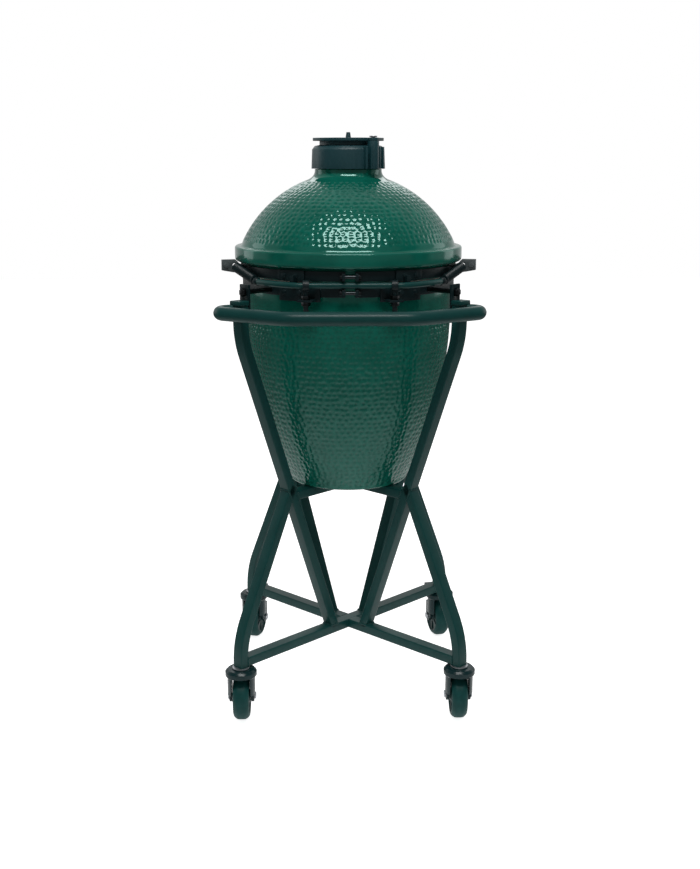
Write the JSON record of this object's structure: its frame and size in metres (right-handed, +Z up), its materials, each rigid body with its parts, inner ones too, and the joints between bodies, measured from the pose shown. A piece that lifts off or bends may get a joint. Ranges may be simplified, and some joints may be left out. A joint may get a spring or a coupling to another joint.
{
  "type": "kamado ceramic grill",
  "caption": "Egg-shaped ceramic charcoal grill with a hinged dimpled dome, on a steel stand with a push bar and swivel casters.",
  "frame": {"origin": "centre of the footprint on the floor, on the axis of the round ceramic body", "axes": "+Z up, +Y towards the front with the lid handle and the draft door, -Y towards the rear with the push bar and the hinge, +X to the right seen from behind"},
  "size_m": [0.54, 0.646, 1.212],
  "materials": {
    "stand_paint": "satin powder coat",
    "zinc_steel": "zinc plated",
    "grid_steel": "satin",
    "green_glaze": "glossy dimpled glaze",
    "fire_clay": "matte",
    "cast_iron": "rough",
    "vent_iron": "satin coated",
    "felt": "matte",
    "grip_wood": "satin",
    "lug_metal": "satin",
    "sleeve_metal": "satin",
    "wheel_rubber": "matte",
    "caster_metal": "gloss"
  },
  "bodies": {
    "stand": {"stand_leg_rear_left": "stand_paint", "stand_leg_rear_right": "stand_paint", "stand_leg_front_left": "stand_paint", "stand_leg_front_right": "stand_paint", "stand_post_rear_left": "stand_paint", "stand_post_rear_right": "stand_paint", "stand_post_front_left": "stand_paint", "stand_post_front_right": "stand_paint", "lower_beam_long": "stand_paint", "lower_beam_halves": "stand_paint", "upper_beam_long": "stand_paint", "upper_beam_halves": "stand_paint", "post_caps": "stand_paint", "post_plates": "stand_paint", "clamp_bolts": "zinc_steel", "push_bar": "stand_paint", "caster_stems": "zinc_steel", "base_shell": "green_glaze", "base_gasket": "felt", "fire_box": "fire_clay", "fire_ring": "fire_clay", "fire_grate": "cast_iron", "cooking_grid": "grid_steel", "lower_band": "stand_paint", "lower_band_bolt": "zinc_steel", "lower_hinge_brackets": "stand_paint", "eye_bolts": "stand_paint", "eye_bolt_nuts": "zinc_steel", "draft_frame": "zinc_steel", "draft_screen": "zinc_steel"},
    "draft_door": {"draft_door": "zinc_steel"},
    "lid": {"lid_shell": "green_glaze", "lid_gasket": "felt", "upper_band": "stand_paint", "upper_band_bolt": "zinc_steel", "upper_hinge_brackets": "stand_paint", "hinge_bar": "stand_paint", "spring_sleeves": "sleeve_metal", "side_lugs": "lug_metal", "handle_brackets": "stand_paint", "handle_grip": "grip_wood", "thermometer_case": "zinc_steel", "thermometer_stem": "zinc_steel", "vent_body": "vent_iron", "vent_pin": "zinc_steel"},
    "vent_plate": {"vent_top_plate": "vent_iron"},
    "caster_rear_left": {"caster_fork_rear_left": "caster_metal", "caster_axle_rear_left": "zinc_steel"},
    "wheel_rear_left": {"caster_wheel_rear_left": "wheel_rubber"},
    "caster_rear_right": {"caster_fork_rear_right": "caster_metal", "caster_axle_rear_right": "zinc_steel"},
    "wheel_rear_right": {"caster_wheel_rear_right": "wheel_rubber"},
    "caster_front_left": {"caster_fork_front_left": "caster_metal", "caster_axle_front_left": "zinc_steel"},
    "wheel_front_left": {"caster_wheel_front_left": "wheel_rubber"},
    "caster_front_right": {"caster_fork_front_right": "caster_metal", "caster_axle_front_right": "zinc_steel"},
    "wheel_front_right": {"caster_wheel_front_right": "wheel_rubber"},
    "pedal_left": {"brake_pedal_left": "stand_paint"},
    "pedal_right": {"brake_pedal_right": "stand_paint"}
  },
  "joints": [
    {"name": "lid_hinge", "type": "hinge", "parent": "stand", "child": "lid", "pos_m": [0, -0.231, 0.9175], "axis": [1, 0, 0], "range_deg": [0, 65]},
    {"name": "vent_swivel", "type": "hinge", "parent": "lid", "child": "vent_plate", "pos_m": [0.05, -0.058, 1.194], "axis": [0, 0, 1], "range_deg": [0, 100]},
    {"name": "draft_slide", "type": "slide", "parent": "stand", "child": "draft_door", "axis": [1, 0, 0], "range_m": [0, 0.09]},
    {"name": "swivel_rear_left", "type": "hinge", "parent": "stand", "child": "caster_rear_left", "pos_m": [-0.2291, -0.2291, 0.118], "axis": [0, 0, 1], "continuous": true},
    {"name": "roll_rear_left", "type": "hinge", "parent": "caster_rear_left", "child": "wheel_rear_left", "pos_m": [-0.2291, -0.2151, 0.05], "axis": [1, 0, 0], "continuous": true},
    {"name": "swivel_rear_right", "type": "hinge", "parent": "stand", "child": "caster_rear_right", "pos_m": [0.2291, -0.2291, 0.118], "axis": [0, 0, 1], "continuous": true},
    {"name": "roll_rear_right", "type": "hinge", "parent": "caster_rear_right", "child": "wheel_rear_right", "pos_m": [0.2291, -0.2151, 0.05], "axis": [1, 0, 0], "continuous": true},
    {"name": "swivel_front_left", "type": "hinge", "parent": "stand", "child": "caster_front_left", "pos_m": [-0.2291, 0.2291, 0.118], "axis": [0, 0, 1], "continuous": true},
    {"name": "roll_front_left", "type": "hinge", "parent": "caster_front_left", "child": "wheel_front_left", "pos_m": [-0.22595, 0.24274, 0.05], "axis": [0.9744, -0.225, 0], "continuous": true},
    {"name": "swivel_front_right", "type": "hinge", "parent": "stand", "child": "caster_front_right", "pos_m": [0.2291, 0.2291, 0.118], "axis": [0, 0, 1], "continuous": true},
    {"name": "roll_front_right", "type": "hinge", "parent": "caster_front_right", "child": "wheel_front_right", "pos_m": [0.22595, 0.24274, 0.05], "axis": [0.9744, 0.225, 0], "continuous": true},
    {"name": "brake_left", "type": "hinge", "parent": "caster_front_left", "child": "pedal_left", "pos_m": [-0.2201, 0.26808, 0.109], "axis": [-0.9744, 0.225, 0], "range_deg": [0, 15]},
    {"name": "brake_right", "type": "hinge", "parent": "caster_front_right", "child": "pedal_right", "pos_m": [0.2201, 0.26808, 0.109], "axis": [-0.9744, -0.225, 0], "range_deg": [0, 15]}
  ]
}
